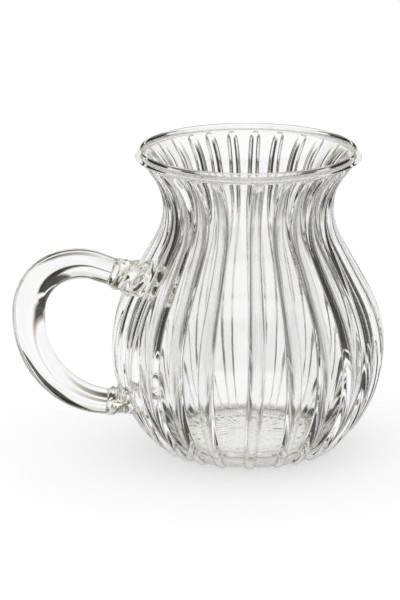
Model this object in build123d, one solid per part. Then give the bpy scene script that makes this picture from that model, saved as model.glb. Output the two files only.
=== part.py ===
from build123d import *
import math
import os

# Chai glass. Millimetres, +Z up, origin at the centre of the foot's underside, handle towards -X.

# Bowl: heights above the table and radii on the outside of the plain wall
HEIGHT = 90.0
LIP_RADIUS = 33.4
LIP_BEAD = 2.8
NECK_RADIUS = 23.6
NECK_DROP = 18.0
BELLY_RADIUS = 38.0
BELLY_Z = 30.5
FOOT_RADIUS = 22.3
WALL = 2.0
FLOOR = 4.5
FOOT_ROUND = 1.5
FLOOR_ROUND = 10.0
# The shoulder leans this much more than the straight line from belly to neck
SHOULDER_LEAN = 0.475
# Share of the two shoulder bends that belongs to the belly
BELLY_SHARE = 0.66

# Ribs: round canes, thickest on the belly, whose middle lies a little under the wall's outside;
# below the lip they dive under it
RIB_COUNT = 26
RIB_FOOT_CANE = 3.4
RIB_BELLY_CANE = 4.6
RIB_NECK_CANE = 3.1
RIB_SINK = 0.3
RIB_TOP_DROP = 3.2
RIB_BURY = 0.3
RIB_FOOT_Z = 0.4
# Widths of the flutes in degrees, as runs of equal ones from the handle's rib on; the two beside the
# front rib are the widest, and the flutes after the last run share what is left
FLUTE_RUNS = [(3, 13.0), (1, 14.4), (1, 21.1), (1, 17.5), (12, 14.1)]

# Handle: places of the rod's ends below the neck and above the table, and their distance from the wall
UPPER_END_DROP = 16.5
UPPER_STANDOFF = 7.2
LOWER_END_Z = 17.0
LOWER_STANDOFF = 5.1
# Corners of the rod's centre line: crown and tail from their ends, outer run from the belly
CROWN_OUT = 12.7
CROWN_RISE = 5.4
TAIL_OUT = 10.2
TAIL_RISE = 2.0
HANDLE_REACH = 28.0
SHOULDER_DROP = 0.5
HEEL_RISE = 15.6
# Share of the run after each corner that its bend takes up, and the share that stays straight
BEND_SHARES = [0.46, 0.41, 0.61, 0.72]
STRAIGHT_SHARE = 0.05
ROD_UPPER_END = 7.8
ROD_OUTER_BEND = 9.5
ROD_LOWER_END = 7.2

# Welds: the collar round the rod's end and the pad on the wall
COLLAR_STEP = 0.5
PAD_COVER = 0.5
UPPER_PAD_DROP = 2.0
UPPER_PAD_HEIGHT = 13.0
UPPER_PAD_WIDTH = 9.0
LOWER_PAD_RISE = 0.4
LOWER_PAD_HEIGHT = 11.6
LOWER_PAD_WIDTH = 9.4

NECK_Z = HEIGHT - NECK_DROP
LIP_Z = HEIGHT - LIP_BEAD / 2
UPPER_END_Z = NECK_Z - UPPER_END_DROP
RIB_PROUD = RIB_BELLY_CANE / 2 - RIB_SINK


def arc_over(side, run):
    """Radius and turn of the arc that leaves an upright line and moves aside over a run."""
    return (side**2 + run**2) / (2 * side), 2 * math.degrees(math.atan2(side, run))


def shoulder_bends():
    """Radii of the belly's and the neck's bends, and the lean of the straight run between them."""
    side = BELLY_RADIUS - NECK_RADIUS
    run = NECK_Z - BELLY_Z
    lean = math.atan2(side, run) * (1 + SHOULDER_LEAN)
    both = (run * math.sin(lean) - side * math.cos(lean)) / (1 - math.cos(lean))
    return BELLY_SHARE * both, (1 - BELLY_SHARE) * both, math.degrees(lean)


def flare_arc():
    """Radius on the wall's outside and turn of the flare, whose middle line ends in the lip."""
    side = (LIP_RADIUS - LIP_BEAD / 2) - (NECK_RADIUS - WALL / 2)
    radius, turn = arc_over(side, LIP_Z - NECK_Z)
    return radius - WALL / 2, turn


def body_line(out, low_z):
    """The wall's line from a low height up to the neck, moved out from the wall's outside."""
    foot_arc, _ = arc_over(BELLY_RADIUS - FOOT_RADIUS, BELLY_Z)
    belly_arc, neck_arc, lean = shoulder_bends()
    low = math.degrees(math.asin((low_z - BELLY_Z) / (foot_arc + out)))
    lower = CenterArc((BELLY_RADIUS - foot_arc, BELLY_Z), foot_arc + out, low, -low)
    upper = CenterArc((BELLY_RADIUS - belly_arc, BELLY_Z), belly_arc + out, 0, lean)
    under = CenterArc((NECK_RADIUS + neck_arc, NECK_Z), neck_arc - out, 180 + lean, -lean)
    return [lower, upper, Line(upper @ 1, under @ 0), under]


def flare_line(out, turn):
    """The wall's line from the neck towards the lip, moved out from the wall's outside."""
    radius, _ = flare_arc()
    return CenterArc((NECK_RADIUS + radius, NECK_Z), radius - out, 180, -turn)


def rounded(outline, corner, radius):
    """The outline with one of its corners rounded."""
    return fillet(outline.vertices().sort_by_distance(corner)[0], radius)


def round_sections(path, sizes):
    """Circles across a path, from the diameters at their shares of its length."""
    return [
        Plane(origin=path @ at, z_dir=path % at) * Circle(size / 2) for at, size in sizes.items()
    ]


def make_envelope():
    """The bowl's outside as a filled solid, which everything on the wall is seated against."""
    _, turn = flare_arc()
    side = [*body_line(0, 0), flare_line(0, turn)]
    foot = side[0] @ 0
    rim = side[-1] @ 1
    outline = make_face([
        Line((0, 0), foot),
        *side,
        Line(rim, (rim.X, HEIGHT)),
        Line((rim.X, HEIGHT), (0, HEIGHT)),
        Line((0, HEIGHT), (0, 0)),
    ])
    return revolve(Plane.XZ * rounded(outline, foot, FOOT_ROUND), Axis.Z)


def make_bowl():
    """The blown wall with its thick floor, and the bead of its fire-polished lip."""
    _, turn = flare_arc()
    outside = [*body_line(0, 0), flare_line(0, turn)]
    inside = [*body_line(-WALL, FLOOR), flare_line(-WALL, turn)]
    foot = outside[0] @ 0
    floor_edge = inside[0] @ 0
    outline = make_face([
        Line((0, 0), foot),
        *outside,
        Line(outside[-1] @ 1, inside[-1] @ 1),
        *inside,
        Line(floor_edge, (0, FLOOR)),
        Line((0, FLOOR), (0, 0)),
    ])
    outline = rounded(outline, foot, FOOT_ROUND)
    outline = rounded(outline, floor_edge, FLOOR_ROUND)
    bead = flare_line(-WALL / 2, turn) @ 1
    outline += Pos(bead.X, bead.Y) * Circle(LIP_BEAD / 2)
    return revolve(Plane.XZ * outline, Axis.Z)


def rib_end():
    """Turn at which a rib leaves the flare, and its straight run from there to its buried end."""
    radius, _ = flare_arc()
    crest = radius + RIB_SINK - RIB_NECK_CANE / 2
    top = math.asin((NECK_DROP - RIB_TOP_DROP) / radius)
    leave = top - math.acos(crest / radius)
    return math.degrees(leave), math.sqrt((radius + RIB_BURY) ** 2 - crest**2)


def make_cane():
    """One whole cane along the wall on the +X side, thickest on the belly."""
    leave, run = rib_end()
    body = body_line(-RIB_SINK, 0)
    flare = flare_line(-RIB_SINK, leave)
    dive = Line(flare @ 1, flare @ 1 + (flare % 1) * run)
    path = Plane.XZ * Wire([line.edge() for line in [*body, flare, dive]])
    belly = body[0].length / path.length
    neck = 1 - (flare.length + dive.length) / path.length
    sizes = {0: RIB_FOOT_CANE, belly: RIB_BELLY_CANE, neck: RIB_NECK_CANE, 1: RIB_NECK_CANE}
    return sweep(round_sections(path, sizes), path=path, multisection=True)


def make_rib(cane, envelope):
    """What stands out of the wall of a cane, cut off just above the table."""
    return split(cane - envelope, bisect_by=Plane.XY.offset(RIB_FOOT_Z), keep=Keep.TOP)


def rib_angles():
    """Directions of the ribs round the axis; the first lies under the handle."""
    widths = [width for count, width in FLUTE_RUNS for _ in range(count)]
    rest = RIB_COUNT - len(widths)
    widths += [(360 - sum(widths)) / rest] * rest
    return [180 + sum(widths[:number]) for number in range(RIB_COUNT)]


def wall_at(envelope, height):
    """Point and outward direction of the wall's outside under the handle at a height."""
    level = Axis((0, 0, height), (1, 0, 0))
    return envelope.shell().find_intersection_points(level)[0]


def handle_corners(envelope):
    """Corners of the rod's centre line, from its upper to its lower end."""
    upper_wall, _ = wall_at(envelope, UPPER_END_Z)
    lower_wall, _ = wall_at(envelope, LOWER_END_Z)
    upper = upper_wall + Vector(-UPPER_STANDOFF, 0, 0)
    lower = lower_wall + Vector(-LOWER_STANDOFF, 0, 0)
    outer = -(BELLY_RADIUS + HANDLE_REACH)
    return [
        upper,
        upper + Vector(-CROWN_OUT, 0, CROWN_RISE),
        Vector(outer, 0, UPPER_END_Z - SHOULDER_DROP),
        Vector(outer, 0, LOWER_END_Z + HEEL_RISE),
        lower + Vector(-TAIL_OUT, 0, TAIL_RISE),
        lower,
    ]


def bend_radii(corners):
    """Radii of the bends; each takes its share of the run after it or what is left of the run before."""
    radii = []
    left = 1 - STRAIGHT_SHARE
    for at, share in enumerate(BEND_SHARES, start=1):
        before = corners[at] - corners[at - 1]
        after = corners[at + 1] - corners[at]
        tangent = min(left * before.length, share * after.length)
        half_turn = math.radians(before.get_angle(after) / 2)
        radii.append(tangent / math.tan(half_turn))
        left = 1 - STRAIGHT_SHARE - share
    return radii


def make_handle(corners):
    """The bent rod, swept through its two end sections and its outer bend."""
    path = FilletPolyline(*corners, radius=bend_radii(corners))
    sizes = {0: ROD_UPPER_END, 0.5: ROD_OUTER_BEND, 1: ROD_LOWER_END}
    return sweep(round_sections(path, sizes), path=path, multisection=True)


def make_weld(before, end, rod, pad_z, pad_height, pad_width, envelope, cane):
    """A dab of glass that flares from the rod's end to a pad on the wall and over its rib."""
    seat, outward = wall_at(envelope, pad_z)
    collar_plane = Plane(origin=end, x_dir=(0, 1, 0), z_dir=end - before)
    pad_plane = Plane(origin=seat, x_dir=(0, 1, 0), z_dir=-outward)
    collar = Circle(rod / 2 + COLLAR_STEP)
    pad = Ellipse(pad_width / 2, pad_height / 2)
    flare = loft(
        [
            collar_plane * collar,
            pad_plane.offset(-RIB_PROUD - PAD_COVER) * pad,
            pad_plane.offset(WALL) * pad,
        ],
        ruled=True,
    )
    return flare - envelope - cane


envelope = make_envelope()
cane = make_cane()
rib = make_rib(cane, envelope)
angles = rib_angles()
handle_cane = Rot(0, 0, angles[0]) * cane
corners = handle_corners(envelope)

parts = {
    "bowl": make_bowl(),
    "handle_rod": make_handle(corners),
    "upper_weld": make_weld(
        corners[1], corners[0], ROD_UPPER_END,
        UPPER_END_Z - UPPER_PAD_DROP, UPPER_PAD_HEIGHT, UPPER_PAD_WIDTH, envelope, handle_cane,
    ),
    "lower_weld": make_weld(
        corners[-2], corners[-1], ROD_LOWER_END,
        LOWER_END_Z + LOWER_PAD_RISE, LOWER_PAD_HEIGHT, LOWER_PAD_WIDTH, envelope, handle_cane,
    ),
}
for number, angle in enumerate(angles, start=1):
    parts[f"rib_{number:02d}"] = Rot(0, 0, angle) * rib

os.makedirs("parts", exist_ok=True)
for node, shape in parts.items():
    export_step(shape, f"parts/{node}.step")
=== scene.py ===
import math

import bpy
import numpy as np
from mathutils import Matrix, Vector
from mathutils.bvhtree import BVHTree


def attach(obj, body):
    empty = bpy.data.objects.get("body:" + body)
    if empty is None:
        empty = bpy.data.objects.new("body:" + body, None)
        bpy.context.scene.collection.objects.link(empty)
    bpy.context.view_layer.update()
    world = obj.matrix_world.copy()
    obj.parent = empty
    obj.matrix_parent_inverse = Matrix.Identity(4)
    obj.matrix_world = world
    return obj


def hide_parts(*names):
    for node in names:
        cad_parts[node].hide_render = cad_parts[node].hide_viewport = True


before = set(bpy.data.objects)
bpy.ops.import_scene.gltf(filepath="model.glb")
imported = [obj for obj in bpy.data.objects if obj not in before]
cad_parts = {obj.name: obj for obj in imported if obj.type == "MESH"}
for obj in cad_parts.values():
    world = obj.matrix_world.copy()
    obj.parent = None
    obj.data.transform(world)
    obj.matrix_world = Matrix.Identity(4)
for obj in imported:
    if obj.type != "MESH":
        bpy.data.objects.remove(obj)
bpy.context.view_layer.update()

# Chai glass in metres, +Z up, origin at the centre of the foot's underside, handle towards -X.
# Fused glass has no surface where two pieces meet, so the faces there carry a clear seam material.

# Bowl: heights above the table and radii on the outside of the plain wall
HEIGHT = 0.0900
LIP_RADIUS = 0.0334
LIP_BEAD = 0.0028
NECK_RADIUS = 0.0236
NECK_Z = 0.0720
BELLY_RADIUS = 0.0380
BELLY_Z = 0.0305
FOOT_RADIUS = 0.0223
WALL = 0.0020
FLOOR = 0.0045
FOOT_ROUND = 0.0015
FLOOR_ROUND = 0.0100
# How much more the shoulder leans than the straight line from belly to neck, and the share of its
# two bends that belongs to the belly
SHOULDER_LEAN = 0.475
BELLY_SHARE = 0.66
# Degrees of the flare over which the wall swells to the bead, and the radius of the flat middle
# that closes the mesh
LIP_SWELL = 3.5
POLE = 0.0012

# Ribs: diameters of the canes, how deep their middle lies under the wall's outside, and their ends
RIB_FOOT_CANE = 0.0034
RIB_BELLY_CANE = 0.0046
RIB_NECK_CANE = 0.0031
RIB_SINK = 0.0003
RIB_TOP_DROP = 0.0032
RIB_FOOT_Z = 0.0004
# Runs of the rounded upper and lower ends, how far the lower one sinks as a share of the whole way,
# and what still stands out at the tip
RIB_NOSE = 0.0045
RIB_NUB = 0.0026
NUB_SINK = 0.85
RIB_TIP = 0.00003
# Fillet where a rib is fused to the wall, and the least half width of its foot
RIB_FILLET = 0.0005
LEAST_EDGE = 0.0002
# Unevenness of hand work: share of a cane's size, wander in degrees, and the lean of single ribs
# (counted from the handle's, in degrees over the glass's height) about a share of that height
RIB_UNEVEN = 0.03
RIB_WANDER = 0.5
LEANS = {3: 1.5, 5: 5.0, 7: -2.0, 8: -3.0}
LEAN_PIVOT = 0.35
# Steps of the two waves of unevenness from one rib to the next, in radians
UNEVEN_PHASE = 1.7
WANDER_PHASE = 2.4
# Relief of the plain surfaces: a groove under the lip's bead (degrees under it, half its width in
# degrees and its depth), waves behind the ribs, an uneven floor with a ring on it (its radius, half
# its width and its height), and a dished foot
LIP_GROOVE = (5.0, 2.0, 0.0007)
INNER_WAVE = 0.00005
FLOOR_WAVE = 0.00006
FLOOR_RIPPLE = 0.00003
FLOOR_RING = (0.0165, 0.0012, 0.00035)
FOOT_DISH = 0.0006
FOOT_RIPPLE = 0.00004
# Ripples: radians a metre across, how much faster they run along, how far they bend each way, and
# how often and from where they bend
RIPPLES = 520.0
RIPPLE_SKEW = 1.1
RIPPLE_BENDS = (2.1, 1.7)
RIPPLE_TURNS = (0.7, 0.8)
RIPPLE_SHIFT = 1.0
# Widths of the flutes in degrees, as runs of equal ones from the handle's rib on
RIB_COUNT = 26
FLUTE_RUNS = [(3, 13.0), (1, 14.4), (1, 21.1), (1, 17.5), (12, 14.1)]
# Steps across a rib's foot, its round top, each of its fillets and a flute
UNDER_STEPS = 4
CROWN_STEPS = 12
FILLET_STEPS = 4
FLUTE_STEPS = 6
# Rows of the bowl's outside and inside over the foot's bend, the belly's, the shoulder and the
# neck's bend
OUTER_STEPS = (92, 26, 16, 14)
INNER_STEPS = (24, 14, 8, 8)
# Rows of the flare to where the ribs leave it, to their tips, over the tips (the last degrees of a
# rib) and on to the lip
FLARE_STEPS = (10, 14, 10, 12)
TIP_TURN = 4.0
# Rows of the other stretches
FOOT_STEPS = 6
UNDERSIDE_STEPS = 24
FLOOR_STEPS = 16
LIP_STEPS = 18
CORNER_STEPS = 24

# Handle: corners of the rod's middle line in the plane of the axis, the share of the run after each
# corner that its bend takes up, and the rod's diameters at its upper end, its outer bend and its
# lower end
ROD_LINE = [
    (-0.0394, 0.0555), (-0.0521, 0.0609), (-0.0660, 0.0550),
    (-0.0660, 0.0326), (-0.0511, 0.0190), (-0.0409, 0.0170),
]
BEND_SHARES = [0.46, 0.41, 0.61, 0.72]
ROD_SIZES = [0.0078, 0.0095, 0.0072]
ROD_STEPS = 220
ROD_ROUND = 64
BEND_STEPS = 40
# Pads of the welds on the wall: their height above the table, how tall they are and how wide
UPPER_PAD = (0.0535, 0.0130, 0.0090)
LOWER_PAD = (0.0174, 0.0116, 0.0094)
# Welds: ring of the rod that they begin at, their reach along the rod from there, their size over
# the rod's at the collar and at its edge, how deep they sink in the wall, and steps along them
WELD_RING = 3
WELD_REACH = 0.0012
WELD_COLLAR = 1.12
WELD_EDGE = 0.98
WELD_SINK = 0.0012
COLLAR_STEPS = 8
WELD_STEPS = 26
# Lumps of a weld as a share of its size, how many go round it, their twist along it in radians, and
# the rings along it with their share of the lumps
WELD_LUMP = 0.08
LUMPS_ROUND = 5
LUMP_TWIST = 9.0
LUMP_RINGS = 2
RING_LUMP = 0.7
# Ray that tells whether a point lies inside a piece: its direction, and its step past each hit
PROBE = (0.31, 0.73, 0.61)
PROBE_STEP = 1e-7

# Material slots of a piece's free faces and of those fused to another piece
FREE, FUSED = 0, 1
# Glass: its refraction and tint, the noise and tints of its streaks, and the heights where it is
# streaked. On the lip's bead the warm tint and its darker streaks are a painted warm glow, standing
# in for light piped round the bead; on the welds the streaks are brown.
GLASS_IOR = 1.5
CLEAR = (0.965, 0.968, 0.965)
STREAK_SCALE = 420.0
STREAK_DETAIL = 1.0
# Painted warm glow: the lip bead's warm tint and darker streaks stand in for light piped round it
LIP_GLOW_TINTS = [(0.40, (0.985, 0.98, 0.965)), (0.60, (0.95, 0.935, 0.89))]
WELD_TINTS = [
    (0.48, (0.985, 0.98, 0.965)), (0.57, (0.95, 0.93, 0.86)),
    (0.63, (0.75, 0.70, 0.55)), (0.70, (0.42, 0.36, 0.24)),
]
LIP_GLOW_HEIGHTS = [(0.0866, 0.0), (0.0878, 1.0)]
WELD_TINT_HEIGHTS = [(0.0, 1.0), (1.0, 1.0)]
# Waves of the surface: their noise, the bump that they make and the roughness over them
WAVE_SCALE = 160.0
WAVE_DETAIL = 2.0
WAVE_STRENGTH = 0.06
WAVE_HEIGHT = 0.0002
ROUGHNESS = [(0.3, 0.0), (0.7, 0.012)]

# Camera, found by laying the solids' outline over the photograph
CAMERA_AT = (-0.3105, -0.9104, 0.3181)
CAMERA_TO = (-0.01325, 0.00431, 0.0441)
CAMERA_LENS = 205.8
SENSOR = 36.0
# Bounces that light needs to get through the many walls of glass
BOUNCES = 80

# Studio: white all round, with dark flags beside the photograph's view that show in the glass
# alone. Marks of a ramp are (place, darkness), where a place is an angle beside that view as a
# share of a right angle, a distance in metres, or a direction's height
FLOOR_SIZE = 3.0
FLOOR_GAP = 0.0003
FLOOR_WHITE = 0.50
FLOOR_LIGHT = 0.54
# Turn of the view from the Y axis in degrees, and the tones of darkness
VIEW_TURN = 18.0
SEEN_TONES = [(0.0, (1.0, 1.0, 1.0)), (0.5, (0.50, 0.46, 0.38)), (1.0, (0.015, 0.013, 0.012))]
# Flags on the floor near the glass, and where they begin
FLOOR_FLAGS = [(0.38, 0.0), (0.46, 0.98), (0.86, 0.98), (0.92, 0.0)]
FLOOR_START = [(0.022, 0.0), (0.025, 1.0)]
# Bright slits across the near flags: their spacing, the wave's levels between them, and where they
# end
SLIT_RUN = 0.040
SLIT_EDGE = [(0.10, 0.0), (0.30, 1.0)]
SLIT_END = [(0.085, 0.0), (0.100, 1.0)]
# Flags of the sky and the far floor, the height where they end, a band round the sky that outlines
# the lip, and where the far floor begins
SKY_FLAGS = [
    (0.09, 0.0), (0.13, 0.98), (0.31, 0.98), (0.33, 0.0),
    (0.37, 0.0), (0.40, 0.98), (0.86, 0.98), (0.92, 0.0),
]
SKY_HEIGHT = [(0.38, 1.0), (0.54, 0.0)]
SKY_BAND = [(0.08, 0.0), (0.14, 0.16), (0.40, 0.16), (0.47, 0.82), (0.58, 0.82), (0.66, 0.0)]
FAR_START = [(0.24, 0.0), (0.30, 1.0)]
# A clear place that the handle shows, and the shade round the foot
HANDLE_AT = (-0.092, 0.080, 0.0)
HANDLE_CLEAR = [(0.050, 0.0), (0.075, 1.0)]
FOOT_SHADE = [(0.0185, 0.1), (0.0210, 0.85), (0.0250, 0.85), (0.0290, 0.0)]


# Wall lines in the plane of (radius, height)

def arc_over(side, run):
    """Radius and turn of the arc that leaves an upright line and moves aside over a run."""
    return (side**2 + run**2) / (2 * side), 2 * math.degrees(math.atan2(side, run))


def shoulder_bends():
    """Radii of the belly's and the neck's bends, and the lean of the straight run between them."""
    side = BELLY_RADIUS - NECK_RADIUS
    run = NECK_Z - BELLY_Z
    lean = math.atan2(side, run) * (1 + SHOULDER_LEAN)
    both = (run * math.sin(lean) - side * math.cos(lean)) / (1 - math.cos(lean))
    return BELLY_SHARE * both, (1 - BELLY_SHARE) * both, math.degrees(lean)


LIP_Z = HEIGHT - LIP_BEAD / 2
FOOT_ARC, _ = arc_over(BELLY_RADIUS - FOOT_RADIUS, BELLY_Z)
BELLY_ARC, NECK_ARC, LEAN = shoulder_bends()
FLARE_MIDDLE, FLARE_TURN = arc_over(
    (LIP_RADIUS - LIP_BEAD / 2) - (NECK_RADIUS - WALL / 2), LIP_Z - NECK_Z
)
FLARE_ARC = FLARE_MIDDLE - WALL / 2
FOOT_CENTRE = np.array([BELLY_RADIUS - FOOT_ARC, BELLY_Z])
BELLY_CENTRE = np.array([BELLY_RADIUS - BELLY_ARC, BELLY_Z])
NECK_CENTRE = np.array([NECK_RADIUS + NECK_ARC, NECK_Z])
FLARE_CENTRE = np.array([NECK_RADIUS + FLARE_ARC, NECK_Z])


def smooth(share):
    """Smooth step from 0 to 1."""
    return share**2 * (3 - 2 * share)


def spokes(turns):
    """Unit directions at angles in degrees."""
    turns = np.radians(turns)
    return np.stack([np.cos(turns), np.sin(turns)], axis=1)


def arc(centre, radius, start, end, count):
    """Points along an arc, without its last one."""
    return centre + radius * spokes(np.linspace(start, end, count, endpoint=False))


def line(start, end, count):
    """Points or values along a straight run, without its last one."""
    return np.linspace(start, end, count, endpoint=False)


def corner(floor, size, out):
    """Middle of the rounding between level floor and wall, and its angle on the wall's arc."""
    rise = floor + size - BELLY_Z
    reach = math.sqrt((FOOT_ARC + out - size) ** 2 - rise**2)
    return FOOT_CENTRE + (reach, rise), math.degrees(math.atan2(rise, reach))


def wall_line(out, low, counts):
    """The wall from an angle on its lowest arc up to the neck, moved out from its outside."""
    foot_steps, belly_steps, shoulder_steps, neck_steps = counts
    lean = spokes(np.array([LEAN]))[0]
    upper_end = BELLY_CENTRE + (BELLY_ARC + out) * lean
    under_start = NECK_CENTRE - (NECK_ARC - out) * lean
    return np.concatenate([
        arc(FOOT_CENTRE, FOOT_ARC + out, low, 0, foot_steps),
        arc(BELLY_CENTRE, BELLY_ARC + out, 0, LEAN, belly_steps),
        line(upper_end, under_start, shoulder_steps),
        arc(NECK_CENTRE, NECK_ARC - out, 180 + LEAN, 180, neck_steps),
    ])


def flare_line(side, turns):
    """One side of the flare at angles from the neck, up to the lip's bead; side is +1 inside."""
    swell = np.clip(1 - (FLARE_TURN - turns) / LIP_SWELL, 0, 1)
    half = WALL / 2 + (LIP_BEAD - WALL) / 2 * smooth(swell)
    turn, width, depth = LIP_GROOVE
    half -= depth * np.exp(-(((FLARE_TURN - turn - turns) / width) ** 2))
    return FLARE_CENTRE + (FLARE_MIDDLE + side * half)[:, None] * spokes(180 - turns)


def lip_line(count):
    """The half circle over the lip, from outside to inside."""
    out = -spokes(np.array([180 - FLARE_TURN]))[0]
    over = np.array([-out[1], out[0]])
    middle = FLARE_CENTRE - FLARE_MIDDLE * out
    turns = spokes(np.linspace(0, 180, count))
    return middle + LIP_BEAD / 2 * (turns[:, :1] * out - turns[:, 1:] * over)


def rib_end():
    """Turns of the flare where a rib leaves it to dive under it, and where its crest is gone."""
    crest = FLARE_ARC + RIB_SINK - RIB_NECK_CANE / 2
    top = math.asin((HEIGHT - NECK_Z - RIB_TOP_DROP) / FLARE_ARC)
    return math.degrees(top - math.acos(crest / FLARE_ARC)), math.degrees(top)


RIB_LEAVE, RIB_TOP = rib_end()


def bowl_profile():
    """The bowl's outline from its underside over the lip to its floor, and its outer stretch."""
    foot, low = corner(0, FOOT_ROUND, 0)
    inner_foot, inner_low = corner(FLOOR, FLOOR_ROUND, -WALL)
    marks = [0, RIB_LEAVE, RIB_TOP - TIP_TURN, RIB_TOP, FLARE_TURN]
    turns = np.concatenate([
        line(start, end, count) for start, end, count in zip(marks, marks[1:], FLARE_STEPS)
    ])
    under = line((POLE, 0), (foot[0], 0), UNDERSIDE_STEPS)
    outside = np.concatenate([
        arc(foot, FOOT_ROUND, -90, low, FOOT_STEPS),
        wall_line(0, low, OUTER_STEPS),
        flare_line(-1, turns),
    ])
    inside = np.concatenate([
        arc(inner_foot, FLOOR_ROUND, -90, inner_low, CORNER_STEPS),
        wall_line(-WALL, inner_low, INNER_STEPS),
        flare_line(1, turns[::2]),
    ])
    floor = line((POLE, FLOOR), (inner_foot[0], FLOOR), FLOOR_STEPS)
    outline = np.concatenate([under, outside, lip_line(LIP_STEPS), inside[::-1], floor[::-1]])
    return outline, range(len(under), len(under) + len(outside))


# Ribs on the wall

def eased(at, knots, values):
    """Smooth steps between values at knots."""
    at = np.clip(at, knots[0], knots[-1])
    step = np.clip(np.searchsorted(knots, at, side="right") - 1, 0, len(knots) - 2)
    knots, values = np.array(knots), np.array(values)
    share = (at - knots[step]) / (knots[step + 1] - knots[step])
    return values[step] + (values[step + 1] - values[step]) * smooth(share)


def rib_angles():
    """Directions of the ribs in degrees; the first lies under the handle."""
    widths = [width for count, width in FLUTE_RUNS for _ in range(count)]
    rest = RIB_COUNT - len(widths)
    widths += [(360 - sum(widths)) / rest] * rest
    return [180 + sum(widths[:number]) for number in range(RIB_COUNT)]


class Wall:
    """The stations of the bowl's outside, with their run and normals."""

    def __init__(self, points):
        self.radius, self.height = points.T
        along = np.gradient(points, axis=0)
        along /= np.linalg.norm(along, axis=1)[:, None]
        self.normal = np.stack([along[:, 1], -along[:, 0]], axis=1)
        steps = np.linalg.norm(np.diff(points, axis=0), axis=1)
        self.run = np.concatenate([[0], np.cumsum(steps)])

    def at(self, height, values):
        """One of the wall's values at a height."""
        return float(np.interp(height, self.height, values))


class Rib:
    """One cane on the wall: its direction, and its radius and depth at each station."""

    def __init__(self, wall, number, angle):
        self.number, self.angle = number, angle
        self.first = int(np.argmax(wall.height >= RIB_FOOT_Z))
        foot = wall.run[self.first]
        knots = [foot, wall.at(BELLY_Z, wall.run), wall.at(NECK_Z, wall.run)]
        sizes = np.array([RIB_FOOT_CANE, RIB_BELLY_CANE, RIB_NECK_CANE]) / 2
        thinner = RIB_UNEVEN * (1 - math.sin(UNEVEN_PHASE * number))
        self.cane = eased(wall.run, knots, sizes) * (1 - thinner)
        top = np.interp(HEIGHT - RIB_TOP_DROP, wall.height, wall.run)
        tip = np.clip(1 - (top - wall.run) / RIB_NOSE, 0, 1)
        nose = RIB_SINK + (self.cane - RIB_SINK) * (1 - np.sqrt(1 - tip**2))
        end = np.clip(1 - (wall.run - foot) / RIB_NUB, 0, 1)
        nub = RIB_SINK + (self.cane - RIB_SINK) * (1 - np.sqrt(1 - end**2)) * NUB_SINK
        least = self.cane - RIB_TIP
        self.depth = np.minimum(np.maximum(nose, nub), least)
        self.last = int(np.argmax((self.depth >= least) & (wall.height > NECK_Z)))
        reach = (self.cane + RIB_FILLET) ** 2 - (RIB_FILLET + self.depth) ** 2
        self.half = np.maximum(np.sqrt(np.maximum(reach, 0)), LEAST_EDGE) / wall.radius

    def direction(self, height):
        """Direction of the rib at heights, in radians: hand-laid canes wander a little."""
        share = height / HEIGHT
        wander = RIB_WANDER * np.sin(2 * math.pi * share + WANDER_PHASE * self.number)
        lean = LEANS.get(self.number, 0) * (share - LEAN_PIVOT)
        return np.radians(self.angle + wander + lean)


def rib_section(cane, depth):
    """Offsets along and off the wall across a rib, over both fillets, for every station."""
    fillet = RIB_FILLET
    foot = np.sqrt((cane + fillet) ** 2 - (fillet + depth) ** 2)
    touch = np.arctan2(fillet + depth, foot)
    fall = np.linspace(0, 1, FILLET_STEPS + 1)[1:]
    down = (math.pi + touch)[:, None] + (math.pi / 2 - touch)[:, None] * fall
    crown = np.linspace(0, 1, CROWN_STEPS // 2 + 1)
    round_top = math.pi / 2 + (touch - math.pi / 2)[:, None] * crown
    along = np.concatenate([
        cane[:, None] * np.cos(round_top), foot[:, None] + fillet * np.cos(down)
    ], axis=1)
    off = np.concatenate([
        cane[:, None] * np.sin(round_top) - depth[:, None], fillet + fillet * np.sin(down)
    ], axis=1)
    off[:, -1] = 0
    along = np.concatenate([-along[:, :0:-1], along], axis=1)
    off = np.concatenate([off[:, :0:-1], off], axis=1)
    return along, off


def on_wall(wall, stations, angles, off):
    """Points at angles (in radians) round the wall's stations, moved off it along its normal."""
    radius = wall.radius[stations, None] + off * wall.normal[stations, :1]
    height = wall.height[stations, None] + off * wall.normal[stations, 1:]
    return np.stack([radius * np.cos(angles), radius * np.sin(angles), height + 0 * angles], axis=2)


# Meshes

def make_object(name, points, faces, seams, sharp=None, glass=None):
    """A smooth mesh object of glass, with the seam material where pieces are fused."""
    mesh = bpy.data.meshes.new(name)
    mesh.from_pydata([tuple(p) for p in points], [], faces)
    mesh.materials.append(glass or GLASS)
    mesh.materials.append(SEAM)
    mesh.polygons.foreach_set("material_index", np.array(seams, dtype=np.int32))
    mesh.polygons.foreach_set("use_smooth", np.ones(len(faces), dtype=bool))
    if sharp is not None:
        ends = np.zeros(len(mesh.edges) * 2, dtype=np.int32)
        mesh.edges.foreach_get("vertices", ends)
        sides = np.array(sharp)[ends.reshape(-1, 2)]
        mesh.edges.foreach_set("use_edge_sharp", (sides[:, 0] == sides[:, 1]) & (sides[:, 0] > 0))
    mesh.update()
    piece = bpy.data.objects.new(name, mesh)
    bpy.context.scene.collection.objects.link(piece)
    return piece


def band(upper, lower, closed):
    """Quads between two rows of vertex numbers."""
    count = len(upper)
    pairs = range(count if closed else count - 1)
    return [(lower[i], lower[(i + 1) % count], upper[(i + 1) % count], upper[i]) for i in pairs]


def columns_round(directions, half):
    """Angles of the bowl's columns on each row: under each rib, then over the flute beside it."""
    onward = np.roll(directions, -1, axis=1)
    onward[:, -1] += 2 * math.pi
    across = np.linspace(-1, 1, UNDER_STEPS, endpoint=False)
    under = directions[:, :, None] + half[:, :, None] * across
    start, end = directions + half, onward - np.roll(half, -1, axis=1)
    between = np.linspace(0, 1, FLUTE_STEPS, endpoint=False)
    flute = start[:, :, None] + (end - start)[:, :, None] * between
    return np.concatenate([under, flute], axis=2).reshape(len(directions), -1)


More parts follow.
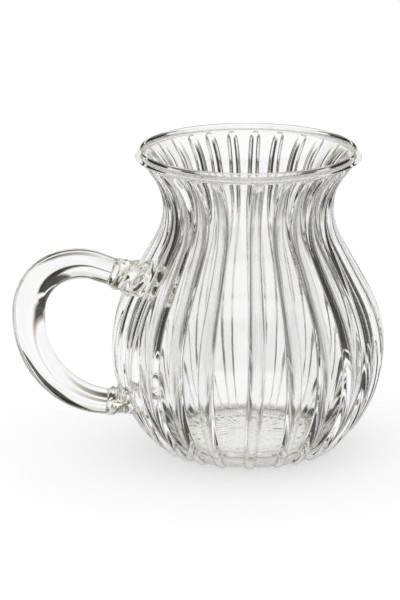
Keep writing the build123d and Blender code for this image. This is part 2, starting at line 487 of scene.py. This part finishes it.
def bowl_columns(outline, outer, wall, ribs):
    """Angles of the bowl's columns; outside they keep to the ribs' edges, inside they are even."""
    directions = np.stack([rib.direction(outline[:, 1]) for rib in ribs], axis=1)
    even = math.pi / RIB_COUNT * UNDER_STEPS / (UNDER_STEPS + FLUTE_STEPS)
    half = np.full(directions.shape, even)
    for number, rib in enumerate(ribs):
        part = eased(wall.run, [wall.run[rib.last], wall.run[-1]], [0, 1])
        half[outer.start : outer.stop, number] = rib.half + (even - rib.half) * part
        half[: outer.start, number] = rib.half[0]
    return columns_round(directions, half)


def ripple(points):
    """Irregular waves over a level surface, between -1 and 1."""
    x, y = points[:, :, 0] * RIPPLES, points[:, :, 1] * RIPPLES
    across = np.sin(x + RIPPLE_BENDS[0] * np.sin(RIPPLE_TURNS[0] * y + RIPPLE_SHIFT))
    along = np.sin(RIPPLE_SKEW * y + RIPPLE_BENDS[1] * np.sin(RIPPLE_TURNS[1] * x))
    return across * along


def bowl_relief(outline, outer, points):
    """Unevenness that hot work leaves: waves behind ribs, an uneven floor and a dished foot."""
    columns = points.shape[1]
    row = np.arange(len(outline))
    phase = (np.arange(columns) - UNDER_STEPS / 2) / (UNDER_STEPS + FLUTE_STEPS)
    wave = np.cos(2 * math.pi * phase)
    radius, height = outline.T
    inside = row > outer.stop + LIP_STEPS // 2
    body = inside * eased(height, [FLOOR, 2 * FLOOR, NECK_Z, HEIGHT], [0, 1, 1, 0])
    move = -(body * INNER_WAVE)[:, None] * wave
    points[:, :, :2] *= 1 + (move / radius[:, None])[:, :, None]
    floor = inside * eased(height, [FLOOR, 2 * FLOOR], [1, 0])
    under = row < outer.start
    inward = under * np.clip(1 - (radius / radius[outer.start]) ** 2, 0, 1)
    uneven = ripple(points)
    points[:, :, 2] += (floor * radius / FOOT_RADIUS * FLOOR_WAVE)[:, None] * wave
    points[:, :, 2] += (floor * FLOOR_RIPPLE)[:, None] * uneven
    ring_radius, ring_width, ring_height = FLOOR_RING
    ring = ring_height * np.exp(-(((radius - ring_radius) / ring_width) ** 2))
    points[:, :, 2] += (floor * ring)[:, None]
    points[:, :, 2] += inward[:, None] * (FOOT_DISH + FOOT_RIPPLE * uneven)


def make_bowl(outline, outer, wall, ribs):
    """The blown wall, turned from its outline; its outer columns follow the ribs' edges."""
    rows = bowl_columns(outline, outer, wall, ribs)
    radius, height = outline[:, :1], outline[:, 1:]
    points = np.stack([radius * np.cos(rows), radius * np.sin(rows), height + 0 * rows], axis=2)
    bowl_relief(outline, outer, points)
    number = np.arange(rows.size).reshape(rows.shape)
    faces = [tuple(number[0][::-1])]
    seams = [FREE]
    for row in range(len(outline) - 1):
        faces += band(number[row + 1], number[row], True)
        for rib in ribs:
            under = FUSED if rib.first <= row - outer.start < rib.last else FREE
            seams += [under] * UNDER_STEPS + [FREE] * FLUTE_STEPS
    faces.append(tuple(number[-1]))
    seams.append(FREE)
    return points.reshape(-1, 3), faces, seams


def make_rib(wall, rib):
    """One cane on the wall: its round outside, its fused underside and its two ends."""
    stations = np.arange(rib.first, rib.last + 1)
    along, off = rib_section(rib.cane[stations], rib.depth[stations])
    widen = (rib.half * wall.radius)[stations, None] / along[:, -1:]
    round_angle = along * widen / wall.radius[stations, None]
    under_angle = round_angle[:, :1] + (round_angle[:, -1:] - round_angle[:, :1]) * (
        np.arange(1, UNDER_STEPS) / UNDER_STEPS
    )
    direction = rib.direction(wall.height[stations])[:, None]
    angles = direction + np.concatenate([round_angle, under_angle], axis=1)
    lift = np.concatenate([off, np.zeros_like(under_angle)], axis=1)
    points = on_wall(wall, stations, angles, lift)
    number = np.arange(angles.size).reshape(angles.shape)
    top = along.shape[1]
    outside = number[:, :top]
    underside = np.concatenate([number[:, :1], number[:, top:], number[:, top - 1 : top]], axis=1)
    faces, seams = [], []
    for row in range(len(stations) - 1):
        faces += band(outside[row + 1], outside[row], False)
        seams += [FREE] * (top - 1)
        faces += band(underside[row], underside[row + 1], False)
        seams += [FUSED] * UNDER_STEPS
    for row, turn in ((0, 1), (-1, -1)):
        rim = [*outside[row][::-1], *underside[row][1:-1]]
        faces.append(tuple(rim[::turn]))
        seams.append(FREE)
    sides = np.zeros(angles.shape, dtype=int)
    sides[:, 0] = 1
    sides[:, top - 1] = 2
    return points.reshape(-1, 3), faces, seams, sides.ravel()


# Handle

def rounded_line(corners, shares, count):
    """Even points along a line with rounded corners; each bend takes its share of a run."""
    corners = np.array(corners)
    path = [corners[:1]]
    left = 1.0
    for at, share in enumerate(shares, start=1):
        before, after = corners[at] - corners[at - 1], corners[at + 1] - corners[at]
        run_in, run_out = np.linalg.norm(before), np.linalg.norm(after)
        reach = min(left * run_in, share * run_out)
        start, end = corners[at] - before / run_in * reach, corners[at] + after / run_out * reach
        bend = math.acos(np.clip(before @ after / run_in / run_out, -1, 1))
        along = np.linspace(0, 1, BEND_STEPS)[:, None]
        of_start, of_end = (1 - along) ** 2, along**2
        of_corner = 2 * math.cos(bend / 2) * along * (1 - along)
        weighed = of_start * start + of_corner * corners[at] + of_end * end
        path.append(weighed / (of_start + of_corner + of_end))
        left = 1 - share
    path = np.concatenate([*path, corners[-1:]])
    run = np.concatenate([[0], np.cumsum(np.linalg.norm(np.diff(path, axis=0), axis=1))])
    even = np.linspace(0, run[-1], count)
    return np.stack([np.interp(even, run, path[:, 0]), np.interp(even, run, path[:, 1])], axis=1)


def ring_mesh(rings):
    """Closed skin over rings of points, with fused ends."""
    rings = np.array(rings)
    number = np.arange(rings.shape[0] * rings.shape[1]).reshape(rings.shape[:2])
    faces = [tuple(number[0][::-1])]
    seams = [FUSED]
    for row in range(len(rings) - 1):
        faces += band(number[row + 1], number[row], True)
        seams += [FREE] * rings.shape[1]
    faces.append(tuple(number[-1]))
    seams.append(FUSED)
    return rings.reshape(-1, 3), faces, seams


def make_rod():
    """The bent rod, thickest at its outer bend."""
    path = rounded_line(ROD_LINE, BEND_SHARES, ROD_STEPS)
    along = np.gradient(path, axis=0)
    along /= np.linalg.norm(along, axis=1)[:, None]
    share = np.linspace(0, 1, ROD_STEPS)
    size = np.polyval(np.polyfit([0, 0.5, 1], ROD_SIZES, 2), share) / 2
    turns = np.linspace(0, 2 * math.pi, ROD_ROUND, endpoint=False)
    rings = []
    for (x, z), (ax, az), radius in zip(path, along, size):
        side = np.stack([az * np.cos(turns), np.sin(turns), -ax * np.cos(turns)], axis=1)
        rings.append(np.array([x, 0, z]) + radius * side)
    return rings


def make_weld(wall, rod, pad):
    """A dab of glass that flares from a rod's first rings to a pad sunk in the wall."""
    height, tall, wide = pad
    radius = np.interp(height, wall.height, wall.radius)
    normal = np.array([np.interp(height, wall.height, wall.normal[:, i]) for i in range(2)])
    seat = np.array([-radius, 0, height])
    out = np.array([-normal[0], 0, normal[1]])
    up = np.array([normal[1], 0, normal[0]])
    side = np.array([0, 1, 0])
    ring = rod[WELD_RING]
    middle = ring.mean(axis=0)
    spoke = ring - middle
    onward = middle - rod[0].mean(axis=0)
    onward /= np.linalg.norm(onward)
    across = np.stack([spoke @ up, spoke @ side], axis=1)
    across /= np.linalg.norm(across, axis=1)[:, None]
    pad_ring = seat + across[:, :1] * up * tall / 2 + across[:, 1:] * side * wide / 2
    rings = []
    for share in np.linspace(0, 1, COLLAR_STEPS, endpoint=False):
        swell = eased(share, [0, 1], [WELD_EDGE, WELD_COLLAR])
        rings.append(middle + onward * WELD_REACH * (1 - share) + spoke * swell)
    collar = middle + spoke * WELD_COLLAR
    turns = np.linspace(0, 2 * math.pi, len(ring), endpoint=False)
    for share in np.linspace(0, 1, WELD_STEPS):
        foot = collar + (pad_ring - collar) * share**2
        rise = (1 - share) * (collar - pad_ring) @ out
        flat = foot - ((foot - pad_ring) @ out)[:, None] * out
        place = flat + rise[:, None] * out
        twisted = math.sin(math.pi * share) * np.sin(LUMPS_ROUND * turns + LUMP_TWIST * share)
        lump = twisted + RING_LUMP * math.sin(2 * math.pi * LUMP_RINGS * share)
        centre = place.mean(axis=0)
        rings.append(centre + (place - centre) * (1 + WELD_LUMP * lump)[:, None])
    rings.append(pad_ring - out * WELD_SINK)
    return rings


def lies_inside(point, tree):
    """Whether a point lies inside a closed skin, by how often a ray from it crosses the skin."""
    ray = Vector(PROBE).normalized()
    crossings = 0
    hit = tree.ray_cast(point + ray * PROBE_STEP, ray)[0]
    while hit is not None:
        crossings += 1
        hit = tree.ray_cast(hit + ray * PROBE_STEP, ray)[0]
    return crossings % 2 == 1


def mark_inside(piece, others):
    """Gives the seam material to a piece's faces that lie inside the glass of other pieces."""
    depsgraph = bpy.context.evaluated_depsgraph_get()
    skins = []
    for other in others:
        corners = np.array([vertex.co for vertex in other.data.vertices])
        tree = BVHTree.FromObject(other, depsgraph)
        skins.append((tree, corners.min(axis=0), corners.max(axis=0)))
    for face in piece.data.polygons:
        centre = face.center
        for tree, low, high in skins:
            near = all(low[i] <= centre[i] <= high[i] for i in range(3))
            if near and lies_inside(centre, tree):
                face.material_index = FUSED
                break


# Materials

def math_node(nodes, links, operation, *inputs):
    """A maths node; inputs are sockets or numbers."""
    node = nodes.new("ShaderNodeMath")
    node.operation = operation
    for socket, value in zip(node.inputs, inputs):
        if isinstance(value, (int, float)):
            socket.default_value = value
        else:
            links.new(value, socket)
    return node.outputs[0]


def ramp_node(nodes, links, fac, marks):
    """A colour ramp through (place, level) marks; a level is a grey or a colour."""
    ramp = nodes.new("ShaderNodeValToRGB")
    elements = ramp.color_ramp.elements
    while len(elements) < len(marks):
        elements.new(0.5)
    for element, (place, level) in zip(elements, marks):
        element.position = place
        element.color = (*(level if isinstance(level, tuple) else (level,) * 3), 1)
    links.new(fac, ramp.inputs["Fac"])
    return ramp.outputs["Color"]


def noise_node(nodes, links, place, scale, detail):
    """Noise over the object's own coordinates."""
    noise = nodes.new("ShaderNodeTexNoise")
    noise.inputs["Scale"].default_value = scale
    noise.inputs["Detail"].default_value = detail
    links.new(place.outputs["Object"], noise.inputs["Vector"])
    return noise.outputs["Fac"]


def make_glass(name, tinted_heights, tints):
    """Clear glass with slight waves and tinted streaks at given heights: painted warm glow on the
    lip.
    """
    material = bpy.data.materials.new(name)
    material.use_nodes = True
    nodes, links = material.node_tree.nodes, material.node_tree.links
    shader = nodes["Principled BSDF"]
    shader.inputs["Transmission Weight"].default_value = 1.0
    shader.inputs["IOR"].default_value = GLASS_IOR
    place = nodes.new("ShaderNodeTexCoord")
    split = nodes.new("ShaderNodeSeparateXYZ")
    links.new(place.outputs["Object"], split.inputs["Vector"])
    streaks = noise_node(nodes, links, place, STREAK_SCALE, STREAK_DETAIL)
    waves = noise_node(nodes, links, place, WAVE_SCALE, WAVE_DETAIL)
    # Streaked tint over the given heights; on the lip's bead it is a painted warm glow
    tint = nodes.new("ShaderNodeMix")
    tint.data_type = "RGBA"
    links.new(ramp_node(nodes, links, split.outputs["Z"], tinted_heights), tint.inputs["Factor"])
    tint.inputs["A"].default_value = (*CLEAR, 1)
    links.new(ramp_node(nodes, links, streaks, tints), tint.inputs["B"])
    links.new(tint.outputs["Result"], shader.inputs["Base Color"])
    links.new(ramp_node(nodes, links, waves, ROUGHNESS), shader.inputs["Roughness"])
    bump = nodes.new("ShaderNodeBump")
    bump.inputs["Strength"].default_value = WAVE_STRENGTH
    bump.inputs["Distance"].default_value = WAVE_HEIGHT
    links.new(waves, bump.inputs["Height"])
    links.new(bump.outputs["Normal"], shader.inputs["Normal"])
    return material


def make_seam():
    """Nothing at all: where two pieces are fused, light goes straight on."""
    material = bpy.data.materials.new("fused_seam")
    material.use_nodes = True
    shader = material.node_tree.nodes["Principled BSDF"]
    shader.inputs["Alpha"].default_value = 0.0
    return material


GLASS = make_glass("clear_glass", LIP_GLOW_HEIGHTS, LIP_GLOW_TINTS)
WELD_GLASS = make_glass("weld_glass", WELD_TINT_HEIGHTS, WELD_TINTS)
SEAM = make_seam()

outline, outer = bowl_profile()
wall = Wall(outline[outer.start : outer.stop])
ribs = [Rib(wall, number, angle) for number, angle in enumerate(rib_angles())]
pieces = {"bowl": make_object("bowl", *make_bowl(outline, outer, wall, ribs))}
for rib in ribs:
    name = f"rib_{rib.number + 1:02d}"
    pieces[name] = make_object(name, *make_rib(wall, rib))
rod = make_rod()
pieces["handle_rod"] = make_object("handle_rod", *ring_mesh(rod))
# The upper weld runs against the rod, so its rings are turned round to keep its faces outward
upper = make_weld(wall, [ring[::-1] for ring in rod], UPPER_PAD)
lower = make_weld(wall, rod[::-1], LOWER_PAD)
pieces["upper_weld"] = make_object("upper_weld", *ring_mesh(upper), glass=WELD_GLASS)
pieces["lower_weld"] = make_object("lower_weld", *ring_mesh(lower), glass=WELD_GLASS)
welds = [pieces["upper_weld"], pieces["lower_weld"]]
for weld in welds:
    mark_inside(weld, [pieces["bowl"], pieces["rib_01"], pieces["handle_rod"]])
for name in ("bowl", "rib_01", "handle_rod"):
    mark_inside(pieces[name], welds)
for name, piece in pieces.items():
    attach(piece, "root")
    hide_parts(name)


# Stage

def seen_through_glass(nodes, links):
    """1 for light seen in or through glass."""
    path = nodes.new("ShaderNodeLightPath")
    return math_node(
        nodes, links, "MAXIMUM", path.outputs["Is Glossy Ray"], path.outputs["Is Transmission Ray"]
    )


def beside(nodes, links, split):
    """How far a place or direction lies beside the view, as a share of a right angle."""
    across = math_node(nodes, links, "ABSOLUTE", split.outputs["X"])
    along = math_node(nodes, links, "ABSOLUTE", split.outputs["Y"])
    angle = math_node(nodes, links, "ARCTAN2", across, along)
    return math_node(nodes, links, "DIVIDE", angle, math.pi / 2)


def split_place(nodes, links, output):
    """The parts of a place or direction, across, along and above the photograph's view."""
    place = nodes.new("ShaderNodeTexCoord")
    turned = nodes.new("ShaderNodeMapping")
    turned.inputs["Rotation"].default_value = (0, 0, math.radians(VIEW_TURN))
    split = nodes.new("ShaderNodeSeparateXYZ")
    links.new(place.outputs[output], turned.inputs["Vector"])
    links.new(turned.outputs["Vector"], split.inputs["Vector"])
    return split


def distance_node(nodes, links, point):
    """Distance of a place from a point."""
    place = nodes.new("ShaderNodeTexCoord")
    distance = nodes.new("ShaderNodeVectorMath")
    distance.operation = "DISTANCE"
    distance.inputs[1].default_value = point
    links.new(place.outputs["Object"], distance.inputs[0])
    return distance.outputs["Value"]


def near_flags(nodes, links, split, reach):
    """Darkness of the flags on the floor beside the glass, with bright slits and a clear place."""
    ahead = math_node(nodes, links, "ABSOLUTE", split.outputs["Y"])
    turns = math_node(nodes, links, "MULTIPLY", ahead, 2 * math.pi / SLIT_RUN)
    wave = math_node(nodes, links, "MULTIPLY_ADD", math_node(nodes, links, "SINE", turns), 0.5, 0.5)
    slits = math_node(
        nodes, links, "MAXIMUM",
        ramp_node(nodes, links, wave, SLIT_EDGE), ramp_node(nodes, links, ahead, SLIT_END),
    )
    aside = beside(nodes, links, split)
    dark = math_node(nodes, links, "MULTIPLY", ramp_node(nodes, links, aside, FLOOR_FLAGS), slits)
    from_handle = distance_node(nodes, links, HANDLE_AT)
    for place, marks in ((reach, FLOOR_START), (from_handle, HANDLE_CLEAR)):
        dark = math_node(nodes, links, "MULTIPLY", dark, ramp_node(nodes, links, place, marks))
    return dark


def floor_darkness(nodes, links):
    """Darkness of the floor that glass shows: near and far flags, and the shade at the foot."""
    split = split_place(nodes, links, "Object")
    reach = distance_node(nodes, links, (0, 0, 0))
    far = math_node(
        nodes, links, "MULTIPLY",
        ramp_node(nodes, links, beside(nodes, links, split), SKY_FLAGS),
        ramp_node(nodes, links, reach, FAR_START),
    )
    dark = math_node(nodes, links, "MAXIMUM", near_flags(nodes, links, split, reach), far)
    return math_node(nodes, links, "MAXIMUM", dark, ramp_node(nodes, links, reach, FOOT_SHADE))


def make_floor_white():
    """White matt paper, with the dark flags seen in the glass alone."""
    material = bpy.data.materials.new("floor_white")
    material.use_nodes = True
    nodes, links = material.node_tree.nodes, material.node_tree.links
    shader = nodes["Principled BSDF"]
    shader.inputs["Specular IOR Level"].default_value = 0.0
    shader.inputs["Base Color"].default_value = (FLOOR_WHITE, FLOOR_WHITE, FLOOR_WHITE, 1)
    shader.inputs["Emission Color"].default_value = (1, 1, 1, 1)
    shader.inputs["Emission Strength"].default_value = FLOOR_LIGHT
    glow = nodes.new("ShaderNodeEmission")
    tone = ramp_node(nodes, links, floor_darkness(nodes, links), SEEN_TONES)
    links.new(tone, glow.inputs["Color"])
    mix = nodes.new("ShaderNodeMixShader")
    links.new(seen_through_glass(nodes, links), mix.inputs["Fac"])
    links.new(shader.outputs["BSDF"], mix.inputs[1])
    links.new(glow.outputs["Emission"], mix.inputs[2])
    links.new(mix.outputs["Shader"], nodes["Material Output"].inputs["Surface"])
    return material


def make_floor():
    """A plain level floor just under the foot."""
    mesh = bpy.data.meshes.new("floor")
    size = FLOOR_SIZE
    corners = [(-size, -size), (size, -size), (size, size), (-size, size)]
    mesh.from_pydata([(x, y, -FLOOR_GAP) for x, y in corners], [], [(0, 1, 2, 3)])
    mesh.materials.append(make_floor_white())
    floor = bpy.data.objects.new("floor", mesh)
    bpy.context.scene.collection.objects.link(floor)


def make_world():
    """Even white light, with the dark flags seen in the glass alone."""
    world = bpy.data.worlds.new("studio")
    bpy.context.scene.world = world
    world.use_nodes = True
    nodes, links = world.node_tree.nodes, world.node_tree.links
    split = split_place(nodes, links, "Generated")
    flags = ramp_node(nodes, links, beside(nodes, links, split), SKY_FLAGS)
    flags = math_node(
        nodes, links, "MULTIPLY", flags, ramp_node(nodes, links, split.outputs["Z"], SKY_HEIGHT)
    )
    flags = math_node(
        nodes, links, "MAXIMUM", flags, ramp_node(nodes, links, split.outputs["Z"], SKY_BAND)
    )
    shown = math_node(nodes, links, "MULTIPLY", seen_through_glass(nodes, links), flags)
    tone = ramp_node(nodes, links, shown, SEEN_TONES)
    sky = nodes["Background"]
    links.new(tone, sky.inputs["Color"])


def make_camera():
    """The photograph's view, with a long lens."""
    data = bpy.data.cameras.new("camera")
    data.lens = CAMERA_LENS
    data.sensor_width = SENSOR
    camera = bpy.data.objects.new("camera", data)
    bpy.context.scene.collection.objects.link(camera)
    camera.location = CAMERA_AT
    look = Vector(CAMERA_TO) - Vector(CAMERA_AT)
    camera.rotation_euler = look.to_track_quat("-Z", "Y").to_euler()
    bpy.context.scene.camera = camera


make_floor()
make_world()
make_camera()
scene = bpy.context.scene
scene.view_settings.view_transform = "Standard"
scene.cycles.max_bounces = BOUNCES
scene.cycles.transmission_bounces = BOUNCES
scene.cycles.glossy_bounces = BOUNCES
scene.cycles.transparent_max_bounces = BOUNCES
